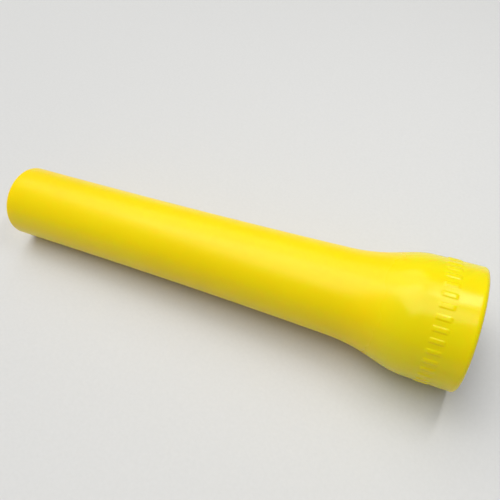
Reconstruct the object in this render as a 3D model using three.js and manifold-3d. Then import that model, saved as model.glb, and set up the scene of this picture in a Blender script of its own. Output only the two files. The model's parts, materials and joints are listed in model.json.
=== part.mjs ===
// A pocket flashlight stowed inside its slip-on signal cone.
//
// The cone is one hollow yellow moulding: a long tube that is closed at its tip and flares at
// the other end into a collar. The flashlight lies inside it, its body in the tube and its head
// in the collar, looking out of the collar's mouth.
//
// Units are millimetres. Every piece is laid out along one common axis: "along" is the distance
// from the cone's tip, and "radius" is the distance from the axis. The finished assembly is then
// tilted a little, so that it lies on a table on its tip and the back of its collar, with +Z up
// and +X towards the mouth.

import * as THREE from 'three';
import { mergeVertices } from 'three/addons/utils/BufferGeometryUtils.js';
import Module from 'manifold-3d';

const wasm = await Module();
wasm.setup();

// ---------------------------------------------------------------- driving dimensions

const SIDES = 32; // flats round a large turned piece
const SMALL_SIDES = 20; // flats round a small turned piece
const GAP = 0.3; // clearance between neighbours that touch

const CONE = {
  length: 174,
  tipRadius: 13.58,
  tipFillet: 1.5,
  tubeEnd: 130,
  tubeEndRadius: 15.3,
  flareEnd: 157.5,
  collarRadius: 20.3,
  mouthRadius: 20.46,
  mouthFillet: 1.0,
  tubeWall: 1.5,
  collarWall: 1.85,
  tipWall: 2.2,
};

// Plain raised bars round the collar, as a grip. Turns are in degrees from the cone's top.
const RIB = { back: 161.3, front: 166.1, width: 1.5, top: 20.72, pitch: 10, reach: 140 };

const HEAD = { back: 127, front: 167.3, radius: 18.0, neckRadius: 12.6 };
const THREAD = { radius: 10.6, bore: 10.9, groove: 10.1 };
const TUBE = { back: 56.4, gripBack: 62.5, gripFront: 126.7, front: 132.7, radius: 11.75, bore: 9.6 };
const CAP = { back: 38, web: 41, cavity: 43, threadBack: 56, front: 62.2, cavityRadius: 10.4 };
const SHELF = { back: 141, front: 144.5 };
const DRIVER = { back: 135.7, front: 137.2, radius: 9.5, cavity: 9.8, seat: 8.9 };
const LED = { boardRadius: 8.2, boardThickness: 1.4, wireOffset: 7.0, wireRadius: 0.45, wireHole: 0.9 };
const REFLECTOR = { back: 147.6, front: 163, holeRadius: 5.8, rimRadius: 15.5, wall: 1.2 };
const LENS = { back: 163.3, front: 165.3, radius: 15.6 };
const BEZEL = { skirtBack: 161.6, flange: 167.6, front: 172.4, skirtRadius: 16.6, skirtBore: 15.9, lip: 14.6 };
const CELL = { back: 64.5, front: 128.6, radius: 9.2, capRadius: 3.4, capFront: 130.4 };
const SWITCH = { boardBack: 52.2, boardFront: 53.4, boardRadius: 10.0, bodyBack: 47, bodyRadius: 6.2 };
const BUTTON = { top: 39.4, shoulder: 43.3, back: 44.3, radius: 6.1, flangeRadius: 7.4 };
const SEAL = { wireRadius: 0.32, ringRadius: 10.52 };

// ---------------------------------------------------------------- materials

const FINISH = {
  yellowPlastic: { color: 0xf0e010, roughness: 0.38, metalness: 0 },
  anodised: { color: 0x1c1d1f, roughness: 0.45, metalness: 0.7 },
  steel: { color: 0xc4c6c8, roughness: 0.25, metalness: 1 },
  glass: { color: 0xe8f2f2, roughness: 0.03, metalness: 0 },
  mirror: { color: 0xf2f2f0, roughness: 0.05, metalness: 1 },
  rubber: { color: 0x1a1a1a, roughness: 0.8, metalness: 0 },
  nylon: { color: 0xe6e2d6, roughness: 0.5, metalness: 0 },
  phosphor: { color: 0xf2d86a, roughness: 0.35, metalness: 0 },
  copperBoard: { color: 0xe8e8e4, roughness: 0.5, metalness: 0 },
  circuitBoard: { color: 0x1f5a34, roughness: 0.5, metalness: 0 },
  blackPart: { color: 0x202022, roughness: 0.5, metalness: 0 },
  redWire: { color: 0xb81c18, roughness: 0.5, metalness: 0 },
  blackWire: { color: 0x141414, roughness: 0.5, metalness: 0 },
  brass: { color: 0xc9a24e, roughness: 0.3, metalness: 1 },
  spring: { color: 0xd2b46a, roughness: 0.3, metalness: 1 },
  cellWrap: { color: 0x2e6f9e, roughness: 0.4, metalness: 0 },
  cellMetal: { color: 0xb9bbbd, roughness: 0.3, metalness: 1 },
};

function piece(name, geometry, finish) {
  const mesh = new THREE.Mesh(geometry, new THREE.MeshStandardMaterial(FINISH[finish]));
  mesh.name = name;
  return mesh;
}

// ---------------------------------------------------------------- shape helpers

/** Turns an outline of [along, radius] points round the X axis. It starts and ends on the axis. */
function turned(outline, sides = SIDES) {
  const points = outline.map(([along, radius]) => new THREE.Vector2(radius, along));
  const geometry = new THREE.LatheGeometry(points, sides, Math.PI / sides);
  return geometry.rotateZ(-Math.PI / 2);
}

/** Turns an outline that never meets the axis, closing it on its first point. */
function turnedRing(outline, sides = SIDES) {
  return turned([...outline, outline[0]], sides);
}

/** A plain disc, or a washer when it has a bore. */
function disc(from, to, radius, bore = 0, sides = SIDES) {
  const rim = [[from, radius], [to, radius]];
  if (bore > 0) {
    return turnedRing([[from, bore], ...rim, [to, bore]], sides);
  }
  return turned([[from, 0], ...rim, [to, 0]], sides);
}

/** A round-section ring of rubber. */
function oRing(along, ringRadius, wireRadius, wireSides = 8) {
  const section = [];
  for (let i = 0; i < wireSides; i += 1) {
    const angle = -Math.PI / 2 + (2 * Math.PI * i) / wireSides;
    section.push([along - wireRadius * Math.cos(angle), ringRadius + wireRadius * Math.sin(angle)]);
  }
  return turnedRing(section);
}

/** A coil spring round the X axis, whose radius changes evenly from one end to the other. */
function coil({ from, to, startRadius, endRadius, turns, wireRadius }) {
  const stepsPerTurn = 14;
  const wireSides = 6;
  const steps = Math.round(turns * stepsPerTurn);
  const points = [];
  for (let i = 0; i <= steps; i += 1) {
    const share = i / steps;
    const angle = 2 * Math.PI * turns * share;
    const radius = THREE.MathUtils.lerp(startRadius, endRadius, share);
    const along = THREE.MathUtils.lerp(from + wireRadius, to - wireRadius, share);
    points.push(new THREE.Vector3(along, radius * Math.cos(angle), radius * Math.sin(angle)));
  }
  const section = new THREE.Shape();
  for (let i = 0; i < wireSides; i += 1) {
    const angle = (2 * Math.PI * i) / wireSides;
    const corner = [wireRadius * Math.cos(angle), wireRadius * Math.sin(angle)];
    if (i === 0) {
      section.moveTo(...corner);
    } else {
      section.lineTo(...corner);
    }
  }
  const path = new THREE.CatmullRomCurve3(points);
  return new THREE.ExtrudeGeometry(section, { steps, extrudePath: path, bevelEnabled: false });
}

/** Samples a Bezier curve between two ends, without its first point. */
function bezier(ends, controls, steps) {
  const points = [ends[0], ...controls, ends[1]].map(([x, y]) => new THREE.Vector2(x, y));
  const Curve = controls.length === 1 ? THREE.QuadraticBezierCurve : THREE.CubicBezierCurve;
  return new Curve(...points).getPoints(steps).slice(1).map((point) => [point.x, point.y]);
}

/** Samples a quarter circle round an edge, from one angle to another, both ends included. */
function corner(along, radius, fillet, fromAngle, toAngle, steps = 3) {
  const points = [];
  for (let i = 0; i <= steps; i += 1) {
    const angle = THREE.MathUtils.lerp(fromAngle, toAngle, i / steps);
    points.push([along + fillet * Math.cos(angle), radius + fillet * Math.sin(angle)]);
  }
  return points;
}

// ---------------------------------------------------------------- joining and cutting

/** A closed solid for joining and cutting, with its shared corners merged. */
function toSolid(geometry) {
  const bare = geometry.clone();
  bare.deleteAttribute('normal');
  bare.deleteAttribute('uv');
  const welded = mergeVertices(bare, 1e-4);
  const index = welded.index.array;
  const triangles = [];
  for (let i = 0; i < index.length; i += 3) {
    const [a, b, c] = index.slice(i, i + 3);
    if (a !== b && b !== c && c !== a) {
      triangles.push(a, b, c);
    }
  }
  const mesh = new wasm.Mesh({
    numProp: 3,
    vertProperties: Float32Array.from(welded.attributes.position.array),
    triVerts: Uint32Array.from(triangles),
  });
  return new wasm.Manifold(mesh);
}

function toGeometry(solid) {
  const mesh = solid.getMesh();
  const geometry = new THREE.BufferGeometry();
  geometry.setAttribute('position', new THREE.BufferAttribute(mesh.vertProperties, 3));
  geometry.setIndex(new THREE.BufferAttribute(mesh.triVerts, 1));
  geometry.computeVertexNormals();
  return geometry;
}

function cut(geometry, cutters) {
  const rest = cutters.reduce((solid, cutter) => solid.subtract(toSolid(cutter)), toSolid(geometry));
  return toGeometry(rest);
}

/** A pin along X, away from the axis, as a cutter for a hole or as a wire. */
function pin(from, to, radius, y, sides = 12) {
  return disc(from, to, radius, 0, sides).translate(0, y, 0);
}

// ---------------------------------------------------------------- the signal cone

/** The outside of the cone from the tip to the mouth. */
function coneOutline() {
  const { length, tipRadius, tipFillet, tubeEnd, tubeEndRadius, flareEnd } = CONE;
  const { collarRadius, mouthRadius, mouthFillet } = CONE;
  const tubeStart = [tipFillet, tipRadius];
  const tubeStop = [tubeEnd, tubeEndRadius];
  const collarStart = [flareEnd, collarRadius];
  return [
    ...corner(tipFillet, tipRadius - tipFillet, tipFillet, Math.PI, Math.PI / 2),
    ...bezier([tubeStart, tubeStop], [[75, 13.6]], 6),
    ...bezier([tubeStop, collarStart], [[145, 15.6], [149.5, 20.2]], 8),
    ...corner(length - mouthFillet, mouthRadius - mouthFillet, mouthFillet, Math.PI / 2, 0),
  ];
}

/** How thick the wall is at a place along the cone. */
function coneWall(along) {
  const share = THREE.MathUtils.smoothstep(along, CONE.tubeEnd, CONE.flareEnd);
  return THREE.MathUtils.lerp(CONE.tubeWall, CONE.collarWall, share);
}

function signalCone() {
  // The flats stand outside the true circle, and the bore's flats inside it.
  const flatFactor = 1 / Math.cos(Math.PI / SIDES);
  const outside = coneOutline();
  const bore = outside
    .filter(([along]) => along > CONE.tipWall && along < CONE.length - CONE.mouthFillet)
    .map(([along, radius]) => [along, radius - coneWall(along)])
    .reverse();
  const mouthBore = CONE.mouthRadius - CONE.collarWall;
  const tipBore = CONE.tipRadius - CONE.tubeWall;
  const outline = [
    [0, 0],
    ...outside.map(([along, radius]) => [along, radius * flatFactor]),
    [CONE.length, mouthBore],
    ...bore,
    [CONE.tipWall + 1, tipBore],
    [CONE.tipWall, tipBore - 1],
    [CONE.tipWall, 0],
  ];
  const ribs = gripRibs().reduce((solid, rib) => solid.add(toSolid(rib)), toSolid(turned(outline)));
  return piece('signal_cone', toGeometry(ribs), 'yellowPlastic');
}

/** The bars leave the underside smooth, so that the collar lies flat. */
function gripRibs() {
  const depth = 1;
  const ribs = [];
  for (let turn = -RIB.reach; turn <= RIB.reach; turn += RIB.pitch) {
    const rib = new THREE.BoxGeometry(RIB.front - RIB.back, RIB.width, depth);
    rib.translate((RIB.back + RIB.front) / 2, 0, RIB.top - depth / 2);
    ribs.push(rib.rotateX(THREE.MathUtils.degToRad(turn)));
  }
  return ribs;
}

// ---------------------------------------------------------------- the flashlight's head

function headHousing() {
  const { back, front, radius, neckRadius } = HEAD;
  const fins = [];
  const finPitch = 2.4;
  for (let groove = back + 3.5; groove < back + 10; groove += finPitch) {
    const land = neckRadius + (groove - back) * 0.07;
    const floor = land - 0.8;
    fins.push([groove, land], [groove, floor], [groove + finPitch / 2, floor], [groove + finPitch / 2, land]);
  }
  const outside = [
    [back, THREAD.bore],
    [back, neckRadius - 0.5],
    [back + 0.5, neckRadius],
    ...fins,
    [138, 13.4],
    ...bezier([[138, 13.4], [158, radius]], [[147, 14], [150, radius]], 5),
    [front, radius],
  ];
  const lampCavity = [
    [front, BEZEL.skirtRadius + GAP],
    [161, BEZEL.skirtRadius + GAP],
    [161, REFLECTOR.rimRadius + GAP],
    [146.5, 9.2],
    [SHELF.front, 9.2],
    [SHELF.front, 0],
  ];
  const driverCavity = [
    [SHELF.back, 0],
    [SHELF.back, DRIVER.seat],
    [DRIVER.front + GAP, DRIVER.seat],
    [DRIVER.front + GAP, DRIVER.cavity],
    [TUBE.front + 0.5, DRIVER.cavity],
    [TUBE.front + 0.5, THREAD.bore],
  ];
  const body = turned([...driverCavity, ...outside, ...lampCavity]);
  const wireHoles = [-1, 1].map((side) =>
    pin(SHELF.back - 1, SHELF.front + 1, LED.wireHole, side * LED.wireOffset));
  return piece('head_housing', cut(body, wireHoles), 'anodised');
}

function bezelRing() {
  const { skirtBack, flange, front, skirtRadius, skirtBore, lip } = BEZEL;
  const lipBack = LENS.front + 1.3;
  const ring = turnedRing([
    [skirtBack, skirtBore],
    [skirtBack, skirtRadius],
    [flange, skirtRadius],
    [flange, HEAD.radius],
    [front - 0.8, HEAD.radius],
    [front, HEAD.radius - 0.8],
    [front, lip + 1],
    [front - 1.4, lip],
    [lipBack, lip],
    [lipBack, skirtBore],
  ]);
  const scallops = [];
  const count = 6;
  const scallopRadius = 5;
  const scallopDepth = 1.2;
  for (let i = 0; i < count; i += 1) {
    const scallop = new THREE.CylinderGeometry(scallopRadius, scallopRadius, 8, 24);
    scallop.translate(front + scallopRadius - scallopDepth, HEAD.radius, 0);
    scallop.rotateX(((i + 0.5) * 2 * Math.PI) / count);
    scallops.push(scallop);
  }
  return piece('bezel_ring', cut(ring, scallops), 'steel');
}

function lens() {
  const bevel = 0.3;
  const outline = [
    [LENS.back, 0],
    [LENS.back, LENS.radius - bevel],
    [LENS.back + bevel, LENS.radius],
    [LENS.front - bevel, LENS.radius],
    [LENS.front, LENS.radius - bevel],
    [LENS.front, 0],
  ];
  return piece('lens', turned(outline), 'glass');
}

function lensSeal() {
  const sealWire = 0.5;
  return piece('lens_seal', oRing(LENS.front + 0.65, 15.2, sealWire), 'rubber');
}

/** A parabolic cup whose focus lies in the plane of its rear hole, where the LED sits. */
function reflector() {
  const { back, front, holeRadius, rimRadius, wall } = REFLECTOR;
  const focalLength = holeRadius / 2;
  const vertex = back - focalLength;
  const steps = 7;
  const bowl = [];
  for (let i = 0; i <= steps; i += 1) {
    const along = THREE.MathUtils.lerp(back, front, i / steps);
    bowl.push([along, Math.sqrt(4 * focalLength * (along - vertex))]);
  }
  const rimThickness = 1.2;
  const shell = bowl
    .filter(([along]) => along < front - rimThickness - 0.5)
    .map(([along, radius]) => [along, radius + wall]);
  const outline = [
    ...shell,
    [front - rimThickness, 14.9],
    [front - rimThickness, rimRadius],
    [front, rimRadius],
    ...bowl.reverse(),
  ];
  return piece('reflector', turnedRing(outline), 'mirror');
}

function ledBoard() {
  const back = SHELF.front + GAP;
  const board = disc(back, back + LED.boardThickness, LED.boardRadius);
  const holes = [-1, 1].map((side) => pin(back - 1, back + 3, LED.wireHole, side * LED.wireOffset));
  return piece('led_board', cut(board, holes), 'copperBoard');
}

function ledEmitter() {
  const back = SHELF.front + 2 * GAP + LED.boardThickness;
  const packageSize = 5;
  const packageHeight = 0.8;
  const domeRadius = 2.1;
  const body = new THREE.BoxGeometry(packageHeight, packageSize, packageSize);
  body.translate(back + packageHeight / 2, 0, 0);
  const domeBase = back + packageHeight;
  const dome = turned(
    [
      [domeBase - 0.3, 0],
      [domeBase - 0.3, domeRadius],
      ...corner(domeBase, 0, domeRadius, Math.PI / 2, 0, 4).slice(0, -1),
      [domeBase + domeRadius, 0],
    ],
    SMALL_SIDES,
  );
  return piece('led_emitter', toGeometry(toSolid(body).add(toSolid(dome))), 'phosphor');
}

/** The white ring that centres the reflector on the LED. */
function ledGasket() {
  const back = SHELF.front + 2 * GAP + LED.boardThickness;
  return piece('led_gasket', disc(back, REFLECTOR.back - GAP, 6.4, 4.2, SMALL_SIDES), 'nylon');
}

function ledWire(name, side, finish) {
  const front = SHELF.front + 2 * GAP + LED.boardThickness;
  const wire = pin(DRIVER.front + 2 * GAP, front, LED.wireRadius, side * LED.wireOffset, 8);
  return piece(name, wire, finish);
}

function driverBoard() {
  return piece('driver_board', disc(DRIVER.back, DRIVER.front, DRIVER.radius), 'circuitBoard');
}

/** A part soldered to the driver board, standing between the two wires. */
function driverPart(name, size, y, z, finish) {
  const [height, width, depth] = size;
  const block = new THREE.BoxGeometry(height, width, depth);
  block.translate(DRIVER.front + GAP + height / 2, y, z);
  return piece(name, block, finish);
}

function driverRetainingRing() {
  const ring = disc(TUBE.front + 0.9, DRIVER.back - GAP, DRIVER.radius, 7.6);
  const slotWidth = 2;
  const wrenchSlot = new THREE.BoxGeometry(1.6, 3 * DRIVER.radius, slotWidth);
  wrenchSlot.translate(TUBE.front + 0.9, 0, 0);
  return piece('driver_retaining_ring', cut(ring, [wrenchSlot]), 'brass');
}

function positiveContactSpring() {
  const spring = coil({
    from: CELL.capFront + GAP,
    to: DRIVER.back - GAP,
    startRadius: 1.7,
    endRadius: 2.6,
    turns: 3.5,
    wireRadius: 0.35,
  });
  return piece('positive_contact_spring', spring, 'spring');
}

// ---------------------------------------------------------------- the body and its battery

/** The grip part of the tube has a groove at each end of its knurled band. */
function bodyTube() {
  const { back, gripBack, gripFront, front, radius, bore } = TUBE;
  const grooveDepth = 0.6;
  const grooveWidth = 1.5;
  const grooves = [gripBack + 5, 93.5, gripFront - 6.5].flatMap((start) => [
    [start, radius],
    [start + 0.4, radius - grooveDepth],
    [start + grooveWidth - 0.4, radius - grooveDepth],
    [start + grooveWidth, radius],
  ]);
  const outline = [
    [back, bore],
    [back, THREAD.radius],
    ...sealGroove(tailSealAlong()),
    [gripBack, THREAD.radius],
    [gripBack, radius - 0.4],
    [gripBack + 0.4, radius],
    ...grooves,
    [gripFront - 0.4, radius],
    [gripFront, radius - 0.4],
    [gripFront, THREAD.radius],
    ...sealGroove(headSealAlong()),
    [front, THREAD.radius],
    [front, bore],
  ];
  return piece('body_tube', turnedRing(outline), 'anodised');
}

function tailSealAlong() {
  return TUBE.gripBack - 1.3;
}

function headSealAlong() {
  return TUBE.gripFront + 1.3;
}

/** The groove that holds a seal in a threaded end of the tube. */
function sealGroove(along) {
  const halfWidth = SEAL.wireRadius + 0.15;
  return [
    [along - halfWidth, THREAD.radius],
    [along - halfWidth, THREAD.groove],
    [along + halfWidth, THREAD.groove],
    [along + halfWidth, THREAD.radius],
  ];
}

function tubeSeal(name, along) {
  return piece(name, oRing(along, SEAL.ringRadius, SEAL.wireRadius, 6), 'rubber');
}

/** A cylindrical rechargeable cell with a crimp groove under its top edge. */
function batteryCell() {
  const { back, front, radius } = CELL;
  const crimp = front - 3;
  const outline = [
    [back, 0],
    [back, radius - 0.6],
    [back + 0.6, radius],
    [crimp - 0.8, radius],
    [crimp, radius - 0.5],
    [crimp + 0.8, radius],
    [front - 0.5, radius],
    [front, radius - 0.5],
    [front, 0],
  ];
  return piece('battery_cell', turned(outline), 'cellWrap');
}

function batteryInsulator() {
  const thickness = 0.4;
  const from = CELL.front + GAP;
  const ring = disc(from, from + thickness, CELL.radius - 0.6, CELL.capRadius + 0.5);
  return piece('battery_insulator', ring, 'nylon');
}

function batteryPositiveCap() {
  const from = CELL.front + GAP;
  const outline = [
    [from, 0],
    [from, CELL.capRadius],
    [CELL.capFront - 0.4, CELL.capRadius - 0.3],
    [CELL.capFront, CELL.capRadius - 0.7],
    [CELL.capFront, 0],
  ];
  return piece('battery_positive_cap', turned(outline, SMALL_SIDES), 'cellMetal');
}

// ---------------------------------------------------------------- the tailcap and its switch

/** The cap screws onto the tube; the notches in its end leave four lugs round the button. */
function tailcap() {
  const { back, web, cavity, threadBack, front, cavityRadius } = CAP;
  const { radius } = TUBE;
  const buttonHole = BUTTON.radius + 0.4;
  const recess = 9.2;
  const chamfer = 0.6;
  const shell = turnedRing([
    [back, recess],
    [back, radius - chamfer],
    [back + chamfer, radius],
    [front - chamfer, radius],
    [front, radius - chamfer],
    [front, THREAD.bore],
    [threadBack, THREAD.bore],
    [threadBack, cavityRadius],
    [cavity, cavityRadius],
    [cavity, buttonHole],
    [web, buttonHole],
    [web, recess],
  ]);
  const notchDepth = 2;
  const notchWidth = 7;
  const notches = [0, Math.PI / 2].map((turn) => {
    const notch = new THREE.BoxGeometry(2 * notchDepth, 3 * radius, notchWidth);
    notch.translate(back, 0, 0);
    return notch.rotateX(turn + Math.PI / 4);
  });
  return piece('tailcap', cut(shell, notches), 'anodised');
}

function tailButton() {
  const { top, shoulder, back, radius, flangeRadius } = BUTTON;
  const hollowRadius = 4.6;
  const hollowTop = 41.3;
  const dome = bezier([[top, 0], [42, radius]], [[top, 4.2], [40, radius]], 5);
  const outline = [
    [top, 0],
    ...dome,
    [shoulder, radius],
    [shoulder, flangeRadius],
    [back, flangeRadius],
    [back, hollowRadius],
    [hollowTop, hollowRadius],
    [hollowTop, 0],
  ];
  return piece('tail_button', turned(outline, SMALL_SIDES), 'rubber');
}

/** The stem under the button that works the switch. */
function switchPlunger() {
  return piece('switch_plunger', disc(41.6, 49, 2, 0, SMALL_SIDES), 'nylon');
}

function tailSwitch() {
  const { boardBack, bodyBack, bodyRadius } = SWITCH;
  const plungerBore = 2.4;
  const boreEnd = 51.2;
  const bodyFront = boardBack - GAP;
  const outline = [
    [boreEnd, 0],
    [boreEnd, plungerBore],
    [bodyBack, plungerBore],
    [bodyBack, bodyRadius],
    [bodyFront, bodyRadius],
    [bodyFront, 0],
  ];
  return piece('tail_switch', turned(outline, SMALL_SIDES), 'blackPart');
}

function switchBoard() {
  const { boardBack, boardFront, boardRadius } = SWITCH;
  return piece('switch_board', disc(boardBack, boardFront, boardRadius), 'circuitBoard');
}

function switchRetainingRing() {
  const from = SWITCH.boardFront + GAP;
  const ring = disc(from, from + 1.8, SWITCH.boardRadius, 7.6);
  const wrenchSlot = new THREE.BoxGeometry(1.6, 3 * SWITCH.boardRadius, 2);
  wrenchSlot.translate(from + 1.8, 0, 0);
  return piece('switch_retaining_ring', cut(ring, [wrenchSlot]), 'brass');
}

function tailSpring() {
  const spring = coil({
    from: SWITCH.boardFront + GAP,
    to: CELL.back - GAP,
    startRadius: 5.4,
    endRadius: 3.6,
    turns: 4.5,
    wireRadius: 0.5,
  });
  return piece('tail_spring', spring, 'spring');
}

// ---------------------------------------------------------------- assembly

function flashlight() {
  const group = new THREE.Group();
  group.add(
    headHousing(),
    bezelRing(),
    lens(),
    lensSeal(),
    reflector(),
    ledBoard(),
    ledEmitter(),
    ledGasket(),
    ledWire('led_wire_positive', 1, 'redWire'),
    ledWire('led_wire_negative', -1, 'blackWire'),
    driverBoard(),
    driverPart('driver_inductor', [2.6, 5, 5], 0, 3.6, 'blackPart'),
    driverPart('driver_controller', [1.2, 4, 5], 0, -4, 'blackPart'),
    driverRetainingRing(),
    positiveContactSpring(),
    bodyTube(),
    tubeSeal('head_seal', headSealAlong()),
    tubeSeal('tail_seal', tailSealAlong()),
    batteryCell(),
    batteryInsulator(),
    batteryPositiveCap(),
    tailSpring(),
  );
  const cap = new THREE.Group();
  cap.add(tailcap(), switchRetainingRing(), switchBoard(), tailSwitch(), switchPlunger(), tailButton());
  group.add(cap);
  return group;
}

/** Lies the assembly on its tip and the back of its collar, centred over the origin. */
function layDown(group) {
  const contactSpan = CONE.flareEnd - CONE.tipFillet;
  const tilt = Math.atan2(CONE.collarRadius - CONE.tipRadius, contactSpan);
  group.rotation.y = -tilt;
  group.updateMatrixWorld(true);
  const box = new THREE.Box3().setFromObject(group, true);
  const centre = box.getCenter(new THREE.Vector3());
  group.position.set(-centre.x, -centre.y, -box.min.z);
}

const assembly = new THREE.Group();
assembly.add(signalCone(), flashlight());
layDown(assembly);

const part = new THREE.Group();
part.add(assembly);
part.updateMatrixWorld(true);

export default part;
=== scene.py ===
"""The looks of a pocket flashlight that lies stowed in its slip-on signal cone.

Every turned piece is laid out on the common axis: "along" is the distance from the cone's tip and
"radius" the distance from the axis, both in millimetres. PLACE puts that axis into the frame.
"""
import json
import math
from functools import cache, wraps

import bmesh
import bpy
from mathutils import Matrix, Vector


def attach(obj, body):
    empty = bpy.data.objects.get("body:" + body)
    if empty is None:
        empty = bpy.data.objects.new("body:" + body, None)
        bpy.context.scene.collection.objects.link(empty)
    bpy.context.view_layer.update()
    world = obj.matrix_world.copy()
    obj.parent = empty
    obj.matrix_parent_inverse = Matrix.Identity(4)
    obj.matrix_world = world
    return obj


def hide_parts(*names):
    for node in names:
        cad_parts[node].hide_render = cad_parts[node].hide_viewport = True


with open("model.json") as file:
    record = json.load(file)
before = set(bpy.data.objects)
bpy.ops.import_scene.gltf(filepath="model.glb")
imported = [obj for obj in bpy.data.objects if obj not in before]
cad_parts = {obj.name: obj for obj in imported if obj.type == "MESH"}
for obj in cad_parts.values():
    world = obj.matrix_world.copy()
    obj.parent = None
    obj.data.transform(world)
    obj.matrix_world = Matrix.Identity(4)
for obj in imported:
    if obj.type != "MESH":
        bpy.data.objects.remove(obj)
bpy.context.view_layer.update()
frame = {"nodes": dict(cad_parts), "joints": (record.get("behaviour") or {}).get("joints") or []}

# -------------------- the frame's axis

MM = 0.001
JOINTS = {joint["name"]: joint for joint in frame["joints"]}
AXIS = Vector(JOINTS["cone_pull"]["axis"]).normalized()
SIDE = Vector((0, 1, 0))
UP = AXIS.cross(SIDE)
ON_AXIS = Vector(JOINTS["tailcap_turn"]["pos_m"])
TIP_DISTANCE = min((v.co - ON_AXIS).dot(AXIS) for v in frame["nodes"]["signal_cone"].data.vertices)
TIP = ON_AXIS + AXIS * TIP_DISTANCE
PLACE = Matrix.Translation(TIP) @ Matrix((AXIS, SIDE, UP)).transposed().to_4x4()

# -------------------- dimensions, in millimetres

GAP = 0.3
CONE_LENGTH = 174
TIP_RADIUS, TIP_FILLET, TIP_WALL = 13.58, 1.5, 2.2
TUBE_END, TUBE_END_RADIUS, TUBE_WALL = 130, 15.3, 1.5
FLARE_END, COLLAR_RADIUS, COLLAR_WALL = 157.5, 20.3, 1.85
MOUTH_RADIUS, MOUTH_FILLET = 20.46, 1.4
RIB_BACK, RIB_FRONT, RIB_WIDTH, RIB_TOP = 161.3, 166.1, 1.5, 20.58
RIB_PITCH, RIB_REACH = 10, 140

HEAD_BACK, HEAD_FRONT, HEAD_RADIUS, NECK_RADIUS = 127, 167.3, 18.0, 12.6
THREAD_RADIUS, THREAD_BORE, THREAD_PITCH, THREAD_DEPTH = 10.6, 10.9, 1.25, 0.32
BODY_BACK, GRIP_BACK, GRIP_FRONT, BODY_FRONT = 56.4, 62.5, 126.7, 132.7
BODY_RADIUS, BODY_BORE = 11.7, 9.6
GRIP_GROOVES = (GRIP_BACK + 5, 93.5, GRIP_FRONT - 6.5)
GROOVE_WIDTH, GROOVE_DEPTH = 1.5, 0.6
KNURL_COUNT, KNURL_DEPTH, KNURL_STEPS = 48, 0.32, 6
CAP_BACK, CAP_WEB, CAP_CAVITY, CAP_THREAD, CAP_FRONT = 38, 41, 43, 56, 62.2
CAP_BORE, CAP_RECESS = 10.4, 9.2
SHELF_BACK, SHELF_FRONT = 141, 144.5
DRIVER_BACK, DRIVER_FRONT, DRIVER_RADIUS, DRIVER_CAVITY, DRIVER_SEAT = 135.7, 137.2, 9.5, 9.8, 8.9
LED_BOARD_BACK, LED_BOARD_FRONT, LED_BOARD_RADIUS = 144.8, 146.2, 8.2
WIRE_OFFSET, WIRE_RADIUS, WIRE_HOLE = 7.0, 0.45, 0.9
CUP_BACK, CUP_FRONT, CUP_HOLE, CUP_RIM, CUP_WALL = 147.6, 163, 5.8, 15.5, 1.2
LENS_BACK, LENS_FRONT, LENS_RADIUS = 163.3, 165.3, 15.6
SKIRT_BACK, BEZEL_BACK, BEZEL_FRONT = 161.6, 167.6, 172.4
SKIRT_RADIUS, SKIRT_BORE, BEZEL_LIP = 16.6, 15.9, 14.6
CELL_BACK, CELL_FRONT, CELL_RADIUS, CELL_CAP_RADIUS, CELL_CAP_FRONT = 64.5, 128.6, 9.2, 3.4, 130.4
BOARD_BACK, BOARD_FRONT, BOARD_RADIUS, LOCK_BORE = 52.2, 53.4, 10.0, 7.6
BUTTON_TOP, BUTTON_SHOULDER, BUTTON_BACK, BUTTON_RADIUS, BUTTON_FLANGE = 39.4, 43.3, 44.3, 6.1, 7.4
SEAL_WIRE, SEAL_PLAY, SEAL_RING, SEAL_FLOOR = 0.32, 0.15, 10.52, 10.1
HEAD_SEAL, TAIL_SEAL = GRIP_FRONT + 1.3, GRIP_BACK - 1.3

# -------------------- outlines


def bezier(points, steps):
    """Samples a Bezier curve through its control points, without its first point."""
    sampled = []
    for i in range(1, steps + 1):
        level = [Vector(p) for p in points]
        while len(level) > 1:
            level = [a.lerp(b, i / steps) for a, b in zip(level, level[1:])]
        sampled.append(tuple(level[0]))
    return sampled


def arc(along, radius, fillet, start, end, steps):
    """Samples an arc between two angles in degrees, both ends included."""
    points = []
    for i in range(steps + 1):
        angle = math.radians(start + (end - start) * i / steps)
        points.append((along + fillet * math.cos(angle), radius + fillet * math.sin(angle)))
    return points


def line(start, end, steps):
    """Samples a straight stretch, without its first point."""
    return [tuple(Vector(start).lerp(Vector(end), i / steps)) for i in range(1, steps + 1)]


def smooth(value, low, high):
    """Rises smoothly from 0 at low to 1 at high."""
    share = min(max((value - low) / (high - low), 0), 1)
    return share * share * (3 - 2 * share)


def window(value, low, high, edge):
    """1 between low and high, falling smoothly to 0 over an edge on both sides."""
    rise = smooth(value, low - edge / 2, low + edge / 2)
    return rise * (1 - smooth(value, high - edge / 2, high + edge / 2))


def plate(low, high, radius, bore=0):
    """The outline of a round plate, or of a flat ring."""
    return [(low, bore), (low, radius), (high, radius), (high, bore)]


def rounded(outline, fillet, closed=False):
    """Rounds the corners of an outline, as far as its straight stretches allow."""
    points = [Vector(p) for p in outline]
    count, steps = len(points), 3
    result = []
    for i, point in enumerate(points):
        before, after = points[i - 1] - point, points[(i + 1) % count] - point
        angle = before.angle(after, math.pi)
        is_end = not closed and i in (0, count - 1)
        if is_end or angle > math.radians(165):
            result.append(tuple(point))
            continue
        reach = min(fillet / math.tan(angle / 2), 0.45 * before.length, 0.45 * after.length)
        first, last = point + before.normalized() * reach, point + after.normalized() * reach
        result += [tuple(first), *bezier([first, point, last], steps)]
    return result


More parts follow.
